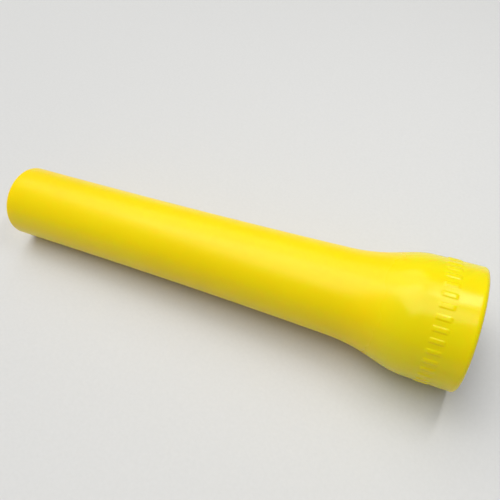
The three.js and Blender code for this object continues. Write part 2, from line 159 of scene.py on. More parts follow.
def groove(low, high, top, floor, slope, lead, fillet):
    """A groove with rounded corners, between two stretches of lead at the top radius."""
    corners = [(low - lead, top), (low, top), (low + slope, floor)]
    corners += [(high - slope, floor), (high, top), (high + lead, top)]
    return rounded(corners, fillet)[1:-1]


# -------------------- meshes


def add_object(name, data):
    """A new object in the scene."""
    thing = bpy.data.objects.new(name, data)
    bpy.context.scene.collection.objects.link(thing)
    return thing


def make_piece(name, verts, faces, sharp=40):
    """A smooth-shaded mesh piece. Its corners are given in mm, with X along the common axis."""
    mesh = bpy.data.meshes.new(name)
    mesh.from_pydata([PLACE @ (Vector(v) * MM) for v in verts], [], faces)
    mesh.validate()
    mesh.polygons.foreach_set("use_smooth", [True] * len(mesh.polygons))
    mesh.set_sharp_from_angle(angle=math.radians(sharp))
    return add_object(name, mesh)


def on_ring(along, radius, turn):
    """The point at a turn in degrees from the top, towards +Y."""
    angle = math.radians(turn)
    return along, radius * math.sin(angle), radius * math.cos(angle)


def revolve(name, outline, turns, shape=None, sharp=40, offset=0.0):
    """Turns an outline round the axis, or round a line at +Y offset from it.

    An outline that starts off the axis is closed to a ring. shape(along, radius, turn) may move
    each point.
    """
    if isinstance(turns, int):
        turns = [360 * i / turns for i in range(turns)]
    verts, rings, faces = [], [], []
    for along, radius in outline:
        if radius < 1e-6:
            rings.append([len(verts)] * len(turns))
            verts.append((along, offset, 0))
            continue
        rings.append(list(range(len(verts), len(verts) + len(turns))))
        for turn in turns:
            at = shape(along, radius, turn) if shape else (along, radius)
            x, y, z = on_ring(*at, turn)
            verts.append((x, y + offset, z))
    pairs = list(zip(rings, rings[1:]))
    if outline[0][1] > 0:
        pairs.append((rings[-1], rings[0]))
    for low, high in pairs:
        for i in range(len(turns)):
            j = (i + 1) % len(turns)
            corners = tuple(dict.fromkeys((low[i], high[i], high[j], low[j])))
            if len(corners) > 2:
                faces.append(corners)
    return make_piece(name, verts, faces, sharp)


def turned(name, outline, fillet, turns=96, shape=None, sharp=50):
    """A solid, or a ring if its outline starts off the axis, with rounded edges."""
    closed = outline[0][1] > 0
    return revolve(name, rounded(outline, fillet, closed=closed), turns, shape, sharp)


def o_ring(name, along, ring_radius, wire_radius, sides=20):
    outline = arc(along, ring_radius, wire_radius, 270, -72, sides - 1)
    return revolve(name, outline, 144, sharp=80)


def sweep(name, points, radius, sides):
    """A round wire along points, with eased ends."""
    points = [Vector(p) for p in points]
    ease = 0.35
    first = points[0].lerp(points[1], ease * radius / (points[1] - points[0]).length)
    last = points[-1].lerp(points[-2], ease * radius / (points[-1] - points[-2]).length)
    points = [points[0], first, *points[1:-1], last, points[-1]]
    radii = [radius * (1 - ease), *[radius] * (len(points) - 2), radius * (1 - ease)]
    verts, faces = [], []
    side = (points[1] - points[0]).orthogonal().normalized()
    for i, point in enumerate(points):
        tangent = (points[min(i + 1, len(points) - 1)] - points[max(i - 1, 0)]).normalized()
        side = (side - tangent * side.dot(tangent)).normalized()
        other = tangent.cross(side)
        for k in range(sides):
            angle = 2 * math.pi * k / sides
            verts.append(point + (side * math.cos(angle) + other * math.sin(angle)) * radii[i])
    for i in range(len(points) - 1):
        for k in range(sides):
            a, b = i * sides + k, i * sides + (k + 1) % sides
            faces.append((a, b, b + sides, a + sides))
    end = (len(points) - 1) * sides
    faces += [tuple(reversed(range(sides))), tuple(range(end, end + sides))]
    return make_piece(name, verts, faces, sharp=70)


def coil(name, low, high, radii, turns, wire_radius):
    """A spring from low to high, whose first and last turns are wound close."""
    start_radius, end_radius = radii
    close = 2 * wire_radius
    climb = (high - low - 2 * wire_radius - 2 * close) / (turns - 2)
    steps_per_turn = 36
    steps = round(turns * steps_per_turn)
    points = []
    for i in range(steps + 1):
        at = turns * i / steps
        rise = close * min(at, 1) + climb * min(max(at - 1, 0), turns - 2) + close * max(at - turns + 1, 0)
        radius = start_radius + (end_radius - start_radius) * i / steps
        points.append(on_ring(low + wire_radius + rise, radius, 360 * at))
    return sweep(name, points, wire_radius, 14)


def block(name, low, size, centre, bevel):
    """A box with rounded edges that stands on a plane across the axis. centre is (y, z)."""
    mesh = bmesh.new()
    bmesh.ops.create_cube(mesh, size=1)
    for vert in mesh.verts:
        x, y, z = vert.co
        vert.co = (low + size[0] * (x + 0.5), centre[0] + size[1] * y, centre[1] + size[2] * z)
    bmesh.ops.bevel(mesh, geom=mesh.edges[:], offset=bevel, segments=3, affect="EDGES", profile=0.5)
    mesh.verts.index_update()
    verts = [tuple(v.co) for v in mesh.verts]
    faces = [tuple(v.index for v in f.verts) for f in mesh.faces]
    mesh.free()
    return make_piece(name, verts, faces, sharp=50)


def cut(piece, cutter):
    """Takes the cutter's volume away from a piece and welds corners that fall together."""
    hole = piece.modifiers.new("hole", "BOOLEAN")
    hole.operation, hole.solver, hole.object = "DIFFERENCE", "EXACT", cutter
    piece.modifiers.new("weld", "WELD").merge_threshold = 0.001 * MM
    bpy.context.view_layer.update()
    ready = piece.evaluated_get(bpy.context.evaluated_depsgraph_get())
    piece.data = bpy.data.meshes.new_from_object(ready)
    piece.data.set_sharp_from_angle(angle=math.radians(35))
    piece.modifiers.clear()
    bpy.data.objects.remove(cutter)


def drill_wire_holes(piece, low, high):
    """Cuts the holes of the LED's two wires right through a board or a shelf."""
    for offset in (WIRE_OFFSET, -WIRE_OFFSET):
        cut(piece, revolve("cutter", plate(low - 1, high + 1, WIRE_HOLE), 40, offset=offset))


def mill(piece, face, depth, width, turns):
    """Cuts slots with eased edges right across an end face, one at each turn in degrees."""
    half, floor, reach, fillet = width / 2, face + depth, 20, 0.25
    side = [
        (face - 1, half + fillet),
        (face, half + fillet),
        *bezier([(face, half + fillet), (face, half), (face + fillet, half)], 4),
        (floor - fillet, half),
        *bezier([(floor - fillet, half), (floor, half), (floor, half - fillet)], 4),
    ]
    profile = side + [(along, -across) for along, across in reversed(side)]
    count = len(profile)
    for turn in turns:
        angle = math.radians(turn)
        verts = []
        for out in (-reach, reach):
            for along, across in profile:
                y = out * math.sin(angle) + across * math.cos(angle)
                z = out * math.cos(angle) - across * math.sin(angle)
                verts.append((along, y, z))
        faces = [(i, i + count, (i + 1) % count + count, (i + 1) % count) for i in range(count)]
        faces += [tuple(range(count)), tuple(reversed(range(count, 2 * count)))]
        cut(piece, make_piece("cutter", verts, faces))


def finish_piece(piece, material, *nodes, body="flashlight", slot=None):
    """Gives a piece its material and its body, and replaces the CAD nodes named.

    The slot argument is not used.
    """
    piece.data.materials.clear()
    piece.data.materials.append(material())
    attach(piece, body)
    slot or material.__name__
    if nodes:
        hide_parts(*nodes)


def solder_drop(name, body, low, offset, side, steps):
    """A drop of solder on a board. side holds its control points, as heights and radii from its foot."""
    profile = bezier([(low + height, radius) for height, radius in side], steps)
    drop = revolve(name, [(low, 0), (low, side[0][1]), *profile], 32, sharp=70, offset=offset)
    finish_piece(drop, solder, body=body, slot="nickel_plate")


def lock_ring(name, body, low, high, radius, face, node):
    """A brass ring that screws down on a board, with two wrench slots in one face."""
    turns = close_turns(96, (90, 270), 4, 10)
    slots = wrench_slots(face, 0.8, 2, 1 if face == low else -1)
    ring = turned(name, plate(low, high, radius, LOCK_BORE), 0.12, turns, slots, 35)
    finish_piece(ring, brass, node, body=body)


# -------------------- machined surfaces


def knurl(bands):
    """Crossed helical grooves in stretches of a turned piece, which leave flat-topped diamonds."""
    pitch = 2 * math.pi * BODY_RADIUS / KNURL_COUNT

    def triangle(value):
        return 1 - abs(2 * (value % 1) - 1)

    def shape(along, radius, turn):
        for low, high in bands:
            if radius < BODY_RADIUS - 0.1 or not low < along < high:
                continue
            around, forward = turn / 360 * KNURL_COUNT, (along - low) / pitch
            peak = min(triangle(around + forward), triangle(around - forward))
            fade = min(1, (along - low) / 0.5, (high - along) / 0.5)
            radius -= KNURL_DEPTH * fade * (1 - min(1, 1.5 * peak))
        return along, radius

    return shape


def thread(low, high, crest, depth):
    """A helical ridge along a stretch. A negative depth cuts outwards, as in a threaded bore."""

    def shape(along, radius, turn):
        if abs(radius - crest) > 0.05 or not low < along < high:
            return along, radius
        fade = min(1, (along - low) / 0.6, (high - along) / 0.6)
        ridge = 0.5 + 0.5 * math.cos(2 * math.pi * (along / THREAD_PITCH - turn / 360))
        return along, radius - depth * fade * (1 - smooth(ridge, 0.2, 0.8))

    return shape


def thread_line(low, high, radius):
    """Points close enough together to carry a thread, without the first one."""
    return line((low, radius), (high, radius), math.ceil(abs(high - low) / THREAD_PITCH * 8))


def from_nearest(turn, pitch):
    """How far a turn is from the nearest multiple of a pitch, in degrees."""
    return (turn + pitch / 2) % pitch - pitch / 2


def flutes(low, high, floor, count, half_turn, depth):
    """Scooped grooves that run along a turned piece. Nothing inside the floor radius is moved."""

    def shape(along, radius, turn):
        if radius < floor or not low < along < high:
            return along, radius
        away = from_nearest(turn, 360 / count)
        scoop = max(0, 1 - (away / half_turn) ** 2) ** 0.75
        ends = max(0, 1 - abs(2 * (along - low) / (high - low) - 1) ** 6)
        return along, radius - depth * scoop * ends

    return shape


def wrench_slots(face, depth, width, sign):
    """Two slots across a ring's end face, on its +Y and -Y sides. sign points into the ring."""

    def shape(along, radius, turn):
        if (along - face) * sign > depth * 0.6:
            return along, radius
        across = abs(radius * math.cos(math.radians(turn)))
        share = 1 - smooth(across, width / 2 - 0.1, width / 2 + 0.1)
        return along + sign * depth * share, radius

    return shape


def both(first, second):
    """Applies one shape after another."""

    def shape(along, radius, turn):
        return second(*first(along, radius, turn), turn)

    return shape


def close_turns(count, centres, low, high, step=0.25):
    """Even turns all round, with closer ones from low to high degrees on both sides of each centre."""
    turns = {round(360 * i / count, 3) for i in range(count)}
    number = round((high - low) / step)
    for centre in centres:
        for i in range(number + 1):
            turns.add(round((centre + low + step * i) % 360, 3))
            turns.add(round((centre - low - step * i) % 360, 3))
    return sorted(turns)


# -------------------- material building blocks


class Graph:
    """A short way to write a material's nodes."""

    def __init__(self, name):
        self.material = bpy.data.materials.new(name)
        self.material.use_nodes = True
        self.nodes = self.material.node_tree.nodes
        self.links = self.material.node_tree.links
        self.shader = self.nodes["Principled BSDF"]

    def set(self, **values):
        """Sets plain values on the shader's own sockets."""
        for key, value in values.items():
            self.shader.inputs[key.replace("_", " ")].default_value = value

    def add(self, kind, inputs, output=0, **settings):
        """Adds a node, whose inputs are values or sockets, and returns one of its outputs."""
        node = self.nodes.new("ShaderNode" + kind)
        for key, value in settings.items():
            setattr(node, key, value)
        for key, value in inputs.items():
            if isinstance(value, bpy.types.NodeSocket):
                self.links.new(value, node.inputs[key])
            else:
                node.inputs[key].default_value = value
        return node.outputs[output]

    def feed(self, socket, value):
        self.links.new(value, self.shader.inputs[socket])

    @cache
    def place(self, scale=(1, 1, 1)):
        """The place in metres, with X along the common axis from the cone's tip, scaled."""
        values = {"Vector": self.add("TexCoord", {}, "Object")}
        values |= {"Location": tuple(PLACE.translation), "Rotation": tuple(PLACE.to_euler())}
        local = self.add("Mapping", values, vector_type="TEXTURE")
        return self.add("Mapping", {"Vector": local, "Scale": scale})

    def along(self):
        return self.add("SeparateXYZ", {"Vector": self.place()}, "X")

    def radius(self):
        """The distance from the common axis in metres."""
        return self.add("VectorMath", {0: self.place((0, 1, 1))}, "Value", operation="LENGTH")

    def noise(self, scale, detail, stretch=(1, 1, 1), vector=None):
        values = {"Vector": vector or self.place(stretch), "Scale": scale, "Detail": detail}
        return self.add("TexNoise", values, "Fac")

    def math(self, operation, a, b=0.0):
        return self.add("Math", {0: a, 1: b}, operation=operation)

    def total(self, *terms):
        """The sum of (value, weight) pairs."""
        result = None
        for value, weight in terms:
            term = self.math("MULTIPLY", value, weight)
            result = term if result is None else self.math("ADD", result, term)
        return result

    def ramp(self, value, low, high, to_low=0.0, to_high=1.0):
        values = {"Value": value, "From Min": low, "From Max": high, "To Min": to_low, "To Max": to_high}
        return self.add("MapRange", values, "Result", clamp=True)

    def mix(self, share, a, b):
        """A mix of two colours, each a socket or an (r, g, b) value."""
        a, b = (c if isinstance(c, bpy.types.NodeSocket) else (*c, 1) for c in (a, b))
        return self.add("Mix", {0: share, 6: a, 7: b}, 2, data_type="RGBA")

    def colour(self, share, a, b):
        self.feed("Base Color", self.mix(share, a, b))

    def roughness(self, noise, low, high, start=0.3, end=0.7):
        """Roughness from low to high while a noise goes from start to end."""
        self.feed("Roughness", self.ramp(noise, start, end, low, high))

    def mottle(self, scale, detail, dark, light, smooth, rough, stretch=(1, 1, 1)):
        """Lets colour and roughness both follow one noise, and returns it."""
        cloud = self.noise(scale, detail, stretch)
        self.colour(cloud, dark, light)
        self.roughness(cloud, smooth, rough)
        return cloud

    def bump(self, height, distance_mm, strength):
        values = {"Height": height, "Distance": distance_mm * MM, "Strength": strength}
        self.feed("Normal", self.add("Bump", values))

    def edges(self, low, high):
        """How far a corner stands out, broken up by a fine noise, for wear along edges."""
        pointed = self.add("NewGeometry", {}, "Pointiness")
        broken = self.noise(900, 4)
        return self.ramp(self.total((pointed, 1.0), (broken, 0.06)), low + 0.03, high + 0.03)

    def turning_marks(self, pitch_mm):
        """Fine lines round the axis that a lathe tool leaves, from -1 to 1."""
        lines = self.total((self.along(), 1.0), (self.radius(), 0.8))
        wave = self.math("SINE", self.math("MULTIPLY", lines, 2 * math.pi / (pitch_mm * MM)))
        uneven = self.noise(2500, 2, vector=self.add("CombineXYZ", {"X": lines}))
        return self.math("MULTIPLY", wave, uneven)


# -------------------- materials


def material(recipe):
    """Turns a recipe, which fills a graph, into a function that makes its material once."""

    @cache
    @wraps(recipe)
    def make():
        g = Graph(recipe.__name__)
        recipe(g)
        return g.material

    return make


@material
def cone_plastic(g):
    """Satin yellow polythene: it lets some light into its skin, and its paler collar is painted light."""
    collar = g.ramp(g.along(), 0.142, 0.152)
    cloud = g.ramp(g.noise(28, 2), 0.35, 0.65)
    tube = g.mix(cloud, (0.95, 0.64, 0.0), (0.97, 0.67, 0.0004))
    # Painted light: the collar's paler, greener colour stands in for light that shines through its wall.
    pale = g.mix(cloud, (0.80, 0.645, 0.0010), (0.82, 0.675, 0.0040))
    g.colour(collar, tube, pale)
    g.set(Subsurface_Weight=0.5, Subsurface_Radius=(1.0, 0.35, 0.02), Subsurface_Scale=0.004)
    g.set(IOR=1.5, Specular_IOR_Level=0.25, Specular_Tint=(1.0, 0.96, 0.66, 1.0))
    smear = g.noise(60, 4, (0.35, 1, 1))
    satin = g.ramp(smear, 0.3, 0.7, 0.27, 0.35)
    g.feed("Roughness", g.math("SUBTRACT", satin, g.math("MULTIPLY", collar, 0.10)))
    fine = g.noise(2600, 2)
    waves = g.noise(120, 2, (0.25, 1, 1))
    g.bump(g.total((waves, 1.0), (fine, 0.25)), 0.04, 0.5)


@material
def anodised_aluminium(g):
    """Hard black anodising with a fine blasted grain, worn grey along sharp edges."""
    cloud = g.noise(140, 3)
    black = g.mix(cloud, (0.010, 0.011, 0.012), (0.022, 0.023, 0.025))
    wear = g.edges(0.56, 0.66)
    g.colour(wear, black, (0.24, 0.24, 0.25))
    g.set(Metallic=0.55, IOR=1.6)
    grain = g.noise(4200, 2)
    dull = g.ramp(cloud, 0.3, 0.7, 0.38, 0.5)
    g.feed("Roughness", g.math("SUBTRACT", dull, g.math("MULTIPLY", wear, 0.12)))
    g.bump(g.total((grain, 1.0), (g.turning_marks(0.2), 0.25)), 0.008, 0.8)


@material
def stainless_steel(g):
    """Turned steel: fine lathe lines and small smears."""
    smear = g.noise(220, 4)
    g.colour(smear, (0.50, 0.51, 0.53), (0.66, 0.66, 0.67))
    g.set(Metallic=1.0)
    marks = g.turning_marks(0.12)
    g.roughness(g.total((smear, 1.0), (marks, 0.12)), 0.20, 0.36, 0.25, 0.75)
    g.bump(marks, 0.003, 0.7)


@material
def lens_glass(g):
    """Clear toughened glass, with a faint bloom of a coating and a few specks of dust."""
    bloom = g.ramp(g.noise(45, 2), 0.35, 0.65)
    g.colour(bloom, (0.93, 0.97, 0.98), (0.97, 0.96, 0.99))
    g.set(Transmission_Weight=1.0, IOR=1.46, Roughness=0.0)
    dust = g.ramp(g.noise(1800, 2), 0.72, 0.80)
    g.bump(dust, 0.002, 0.4)


@material
def mirror_coating(g):
    """Vapour-coated aluminium over a light orange-peel surface."""
    g.mottle(60, 2, (0.84, 0.84, 0.83), (0.91, 0.91, 0.90), 0.05, 0.09)
    g.set(Metallic=1.0)
    g.bump(g.noise(1100, 1), 0.03, 0.5)


@material
def black_rubber(g):
    """Matt silicone rubber with a fine moulded grain and a trace of pale dust."""
    dust = g.ramp(g.noise(260, 4), 0.52, 0.75, 0.0, 0.35)
    g.colour(dust, (0.014, 0.014, 0.015), (0.060, 0.058, 0.055))
    g.set(Specular_IOR_Level=0.35, Sheen_Weight=0.15, Sheen_Roughness=0.5)
    g.roughness(dust, 0.62, 0.8, 0.0, 0.35)
    g.bump(g.noise(3200, 3), 0.012, 0.8)


@material
def white_nylon(g):
    """Moulded nylon, slightly yellowed in patches."""
    g.mottle(180, 3, (0.78, 0.75, 0.66), (0.86, 0.85, 0.80), 0.38, 0.52)
    g.set(Subsurface_Weight=0.2, Subsurface_Radius=(1.0, 0.9, 0.7), Subsurface_Scale=0.001)
    g.bump(g.noise(2400, 2), 0.006, 0.6)


@material
def led_phosphor(g):
    """Yellow phosphor under a clear silicone dome."""
    grain = g.noise(5200, 3)
    chip = g.ramp(g.radius(), 0.0014, 0.0019)
    phosphor = g.mix(grain, (0.80, 0.56, 0.06), (0.92, 0.70, 0.12))
    g.colour(chip, phosphor, (0.86, 0.80, 0.55))
    g.set(Subsurface_Weight=0.3, Subsurface_Radius=(1.0, 0.8, 0.2), Subsurface_Scale=0.0008)
    g.set(Coat_Weight=1.0, Coat_Roughness=0.03)
    g.roughness(grain, 0.45, 0.6)
    g.bump(grain, 0.002, 0.5)


@material
def led_board_white(g):
    """White solder mask on a metal-cored board, a little glossy and speckled."""
    speck = g.ramp(g.noise(1500, 3), 0.62, 0.75)
    g.colour(speck, (0.80, 0.80, 0.78), (0.62, 0.60, 0.55))
    g.roughness(g.noise(300, 2), 0.28, 0.4)
    g.bump(g.noise(900, 2), 0.004, 0.6)


@material
def circuit_board(g):
    """Green solder mask over copper tracks that run in straight blocks."""
    y, z = (g.add("SeparateXYZ", {"Vector": g.place()}, axis) for axis in "YZ")
    flat = g.add("CombineXYZ", {"X": y, "Y": z})
    values = {"Vector": flat, "Scale": 320.0, "Mortar Size": 0.06, "Mortar Smooth": 0.3}
    values |= {"Color1": (1, 1, 1, 1), "Color2": (0.7, 0.7, 0.7, 1), "Mortar": (0, 0, 0, 1)}
    tracks = g.add("TexBrick", values, "Color", offset=0.37, squash=1.4, squash_frequency=3)
    mask = g.mix(tracks, (0.006, 0.055, 0.022), (0.013, 0.120, 0.048))
    fine = g.noise(900, 3)
    g.colour(g.ramp(fine, 0.3, 0.9), mask, (0.02, 0.10, 0.05))
    g.set(Coat_Weight=0.4, Coat_Roughness=0.15)
    g.roughness(fine, 0.3, 0.45)
    g.bump(tracks, 0.02, 0.6)


@material
def black_component(g):
    """Moulded epoxy with a matt, sandy skin."""
    sand = g.mottle(2800, 4, (0.010, 0.010, 0.011), (0.030, 0.030, 0.031), 0.5, 0.7)
    g.bump(sand, 0.01, 0.6)


def insulation(g, dark, light):
    """Soft extruded wire insulation."""
    g.mottle(700, 3, dark, light, 0.32, 0.48)
    g.bump(g.noise(2600, 2, (0.2, 1, 1)), 0.006, 0.5)


@material
def red_insulation(g):
    insulation(g, (0.42, 0.016, 0.012), (0.55, 0.028, 0.018))


@material
def black_insulation(g):
    insulation(g, (0.010, 0.010, 0.010), (0.022, 0.022, 0.023))


@material
def brass(g):
    """Turned brass with brown tarnish in patches."""
    tarnish = g.ramp(g.noise(320, 4), 0.45, 0.75)
    g.colour(tarnish, (0.80, 0.56, 0.22), (0.48, 0.30, 0.11))
    g.set(Metallic=1.0)
    marks = g.turning_marks(0.15)
    g.roughness(tarnish, 0.24, 0.42, 0.0, 1.0)
    g.bump(marks, 0.003, 0.7)


@material
def gold_plated_spring(g):
    """Drawn wire under a thin gold plating, with fine draw lines."""
    rub = g.ramp(g.noise(800, 3), 0.55, 0.75)
    g.colour(rub, (0.88, 0.62, 0.26), (0.70, 0.60, 0.45))
    g.set(Metallic=1.0)
    g.roughness(rub, 0.20, 0.34, 0.0, 1.0)
    g.bump(g.noise(4800, 2), 0.002, 0.6)


@material
def solder(g):
    """Bright reflowed solder with a grainy skin."""
    grain = g.mottle(2600, 3, (0.55, 0.55, 0.56), (0.75, 0.75, 0.75), 0.22, 0.38)
    g.set(Metallic=1.0)
    g.bump(grain, 0.01, 0.5)


@material
def cell_wrap(g):
    """Thin glossy shrink film in blue, wrinkled where it folds over the ends."""
    g.mottle(70, 3, (0.018, 0.115, 0.280), (0.026, 0.150, 0.340), 0.30, 0.42)
    g.set(Coat_Weight=0.6, Coat_Roughness=0.12)
    g.bump(g.noise(420, 3, (0.15, 1, 1)), 0.03, 0.4)


@material
def nickel_plate(g):
    """Nickel-plated steel sheet, slightly scuffed by contacts."""
    scuff = g.mottle(1400, 4, (0.52, 0.52, 0.51), (0.68, 0.67, 0.65), 0.20, 0.36, (1, 0.3, 1))
    g.set(Metallic=1.0)
    g.bump(scuff, 0.004, 0.6)


@material
def pale_floor(g):
    """A plain sheet of pale matt card."""
    fine = g.noise(900, 3)
    g.colour(fine, (0.60, 0.60, 0.59), (0.64, 0.64, 0.63))
    g.set(Roughness=0.8, Specular_IOR_Level=0.2)
    g.bump(fine, 0.1, 0.25)


# -------------------- the signal cone


def cone_wall(along):
    share = smooth(along, TUBE_END, FLARE_END)
    return TUBE_WALL + (COLLAR_WALL - TUBE_WALL) * share


def cone_outside():
    tube_start, tube_stop = (TIP_FILLET, TIP_RADIUS), (TUBE_END, TUBE_END_RADIUS)
    collar_start = (FLARE_END, COLLAR_RADIUS)
    collar_stop = (CONE_LENGTH - MOUTH_FILLET, MOUTH_RADIUS)
    return [
        *arc(TIP_FILLET, TIP_RADIUS - TIP_FILLET, TIP_FILLET, 180, 90, 8),
        *bezier([tube_start, (75, 13.6), tube_stop], 32),
        *bezier([tube_stop, (145, 15.6), (149.5, 20.2), collar_start], 28),
        *line(collar_start, collar_stop, 46)[:-1],
        *arc(CONE_LENGTH - MOUTH_FILLET, MOUTH_RADIUS - MOUTH_FILLET, MOUTH_FILLET, 90, 0, 7),
    ]


def grip_bars(along, radius, turn):
    """Raises the collar's outside to its grip bars, which leave the underside smooth."""
    edge = 0.6
    inside = radius < COLLAR_RADIUS - 0.2
    if inside or not RIB_BACK - edge < along < RIB_FRONT + edge:
        return along, radius
    signed = from_nearest(turn, 360)
    nearest = RIB_PITCH * round(signed / RIB_PITCH)
    if abs(nearest) > RIB_REACH:
        return along, radius
    across = math.radians(signed - nearest) * RIB_TOP
    height = window(across, -RIB_WIDTH / 2, RIB_WIDTH / 2, edge)
    height *= window(along, RIB_BACK + edge / 2, RIB_FRONT - edge / 2, edge)
    return along, radius + (RIB_TOP - radius) * height


def bar_turns():
    """Turns in degrees that lie close together at the edges of the grip bars."""
    steps = (-5, -3.3, -2.9, -2.5, -2.1, -1.7, -1.3, -0.9, 0, 0.9, 1.3, 1.7, 2.1, 2.5, 2.9, 3.3)
    return [centre + step for centre in range(0, 360, RIB_PITCH) for step in steps]


def signal_cone():
    outside = cone_outside()
    bore = [(along, radius - cone_wall(along)) for along, radius in outside
            if TIP_WALL + 2 < along < CONE_LENGTH - MOUTH_FILLET]
    mouth_bore, mouth_edge = MOUTH_RADIUS - COLLAR_WALL, 0.3
    tip_bore, tip_corner = TIP_RADIUS - TUBE_WALL, 1
    gate_mark = [(0, 0), (0, 1.0), (0.12, 1.15), (0.12, 2.9), (0, 3.05), (0, 6)]
    outline = [
        *gate_mark,
        *outside,
        *arc(CONE_LENGTH - mouth_edge, mouth_bore + mouth_edge, mouth_edge, 0, -90, 4),
        *reversed(bore[::3]),
        *arc(TIP_WALL + tip_corner, tip_bore - tip_corner, tip_corner, 90, 180, 4),
        (TIP_WALL, 6),
        (TIP_WALL, 0),
    ]
    shell = revolve("cone_shell", outline, bar_turns(), grip_bars, sharp=60)
    finish_piece(shell, cone_plastic, "signal_cone", body="cone")


# -------------------- the flashlight's head


def head_housing():
    """A finned neck and a fluted bell, with a cavity for the lamp and one for the driver."""
    bell_start, bell_stop = (138, 13.4), (158, HEAD_RADIUS)
    fins = []
    fin_count, fin_pitch, fin_depth, taper = 3, 2.4, 0.8, 0.07
    for i in range(fin_count):
        back = HEAD_BACK + 3.5 + i * fin_pitch
        land = NECK_RADIUS + (back - HEAD_BACK) * taper
        fins += groove(back, back + fin_pitch / 2, land, land - fin_depth, 0, 0.5, 0.18)
    outside = [
        (HEAD_BACK, THREAD_BORE + 0.2),
        *arc(HEAD_BACK + 0.4, NECK_RADIUS - 0.4, 0.4, 180, 90, 4),
        *fins,
        bell_start,
        *bezier([bell_start, (147, 14), (150, HEAD_RADIUS), bell_stop], 26),
        *line(bell_stop, (HEAD_FRONT - 0.3, HEAD_RADIUS), 22),
        (HEAD_FRONT, HEAD_RADIUS - 0.3),
    ]
    skirt_stop, well_front, well_radius = 161, 146.5, 9.2
    lamp_cavity = [
        (HEAD_FRONT, SKIRT_RADIUS + GAP),
        (skirt_stop, SKIRT_RADIUS + GAP),
        (skirt_stop, CUP_RIM + GAP),
        (well_front, well_radius),
        (SHELF_FRONT, well_radius),
        (SHELF_FRONT, 0),
    ]
    driver_cavity = [
        (SHELF_BACK, 0),
        (SHELF_BACK, DRIVER_SEAT),
        (DRIVER_FRONT + GAP, DRIVER_SEAT),
        (DRIVER_FRONT + GAP, DRIVER_CAVITY),
        (BODY_FRONT + 0.5, DRIVER_CAVITY),
        (BODY_FRONT + 0.5, THREAD_BORE),
        *thread_line(BODY_FRONT + 0.5, HEAD_BACK + 0.2, THREAD_BORE),
    ]
    carve = both(
        thread(HEAD_BACK + 0.3, BODY_FRONT + 0.3, THREAD_BORE, -THREAD_DEPTH),
        flutes(151.5, 163.5, floor=HEAD_RADIUS - 1.05, count=8, half_turn=11, depth=0.7),
    )
    shell = revolve("head_shell", [*driver_cavity, *outside, *lamp_cavity], 240, carve, sharp=35)
    drill_wire_holes(shell, SHELF_BACK, SHELF_FRONT)
    finish_piece(shell, anodised_aluminium, "head_housing")


def bezel():
    """The ring that holds the lens. Six shallow scallops run across its front edge."""
    scallops, scallop_radius, scallop_depth = 6, 5, 1.2

    def scallop(along, radius, turn):
        across = radius * math.sin(math.radians(from_nearest(turn, 360 / scallops)))
        if along < BEZEL_FRONT - 1.6 or abs(across) >= scallop_radius:
            return along, radius
        sink = math.sqrt(scallop_radius ** 2 - across ** 2) - (scallop_radius - scallop_depth)
        return along - max(0, sink), radius

    lip_back, chamfer = LENS_FRONT + 1.3, 0.25
    mark, mark_width, mark_depth = 169.2, 0.9, 0.25
    outline = [
        (SKIRT_BACK, SKIRT_BORE),
        (SKIRT_BACK, SKIRT_RADIUS),
        *thread_line(SKIRT_BACK + 0.2, BEZEL_BACK - 0.2, SKIRT_RADIUS),
        (BEZEL_BACK, SKIRT_RADIUS),
        (BEZEL_BACK, HEAD_RADIUS - chamfer),
        (BEZEL_BACK + chamfer, HEAD_RADIUS),
        (mark, HEAD_RADIUS),
        (mark + 0.2, HEAD_RADIUS - mark_depth),
        (mark + mark_width - 0.2, HEAD_RADIUS - mark_depth),
        (mark + mark_width, HEAD_RADIUS),
        (BEZEL_FRONT - 0.8, HEAD_RADIUS),
        (BEZEL_FRONT, HEAD_RADIUS - 0.8),
        (BEZEL_FRONT, BEZEL_LIP + 1),
        (BEZEL_FRONT - 1.4, BEZEL_LIP),
        (lip_back, BEZEL_LIP),
        (lip_back, SKIRT_BORE),
    ]
    carve = both(thread(SKIRT_BACK, BEZEL_BACK, SKIRT_RADIUS, 0.3), scallop)
    ring = turned("bezel", outline, 0.12, 360, carve, sharp=35)
    finish_piece(ring, stainless_steel, "bezel_ring")


def lens():
    glass = turned("front_glass", plate(LENS_BACK, LENS_FRONT, LENS_RADIUS), 0.3, 144)
    finish_piece(glass, lens_glass, "lens")
    seal = o_ring("front_glass_seal", LENS_FRONT + 0.65, 15.2, 0.5)
    finish_piece(seal, black_rubber, "lens_seal")


def reflector():
    """A parabolic cup whose focus lies in the plane of its rear hole, where the LED sits."""
    focal_length = CUP_HOLE / 2
    vertex = CUP_BACK - focal_length
    steps = 44
    bowl = []
    for i in range(steps + 1):
        along = CUP_BACK + (CUP_FRONT - CUP_BACK) * (i / steps) ** 1.5
        bowl.append((along, math.sqrt(4 * focal_length * (along - vertex))))
    rim_back, edge = CUP_FRONT - 1.2, 0.15
    shell = [(along, radius + CUP_WALL) for along, radius in bowl if along < rim_back - 0.5]
    outline = [
        *shell[::2],
        (rim_back, CUP_RIM - 0.6),
        (rim_back, CUP_RIM - edge),
        (rim_back + edge, CUP_RIM),
        (CUP_FRONT - edge, CUP_RIM),
        (CUP_FRONT, CUP_RIM - edge),
        *reversed(bowl),
    ]
    cup = revolve("reflector_cup", outline, 144, sharp=35)
    finish_piece(cup, mirror_coating, "reflector")


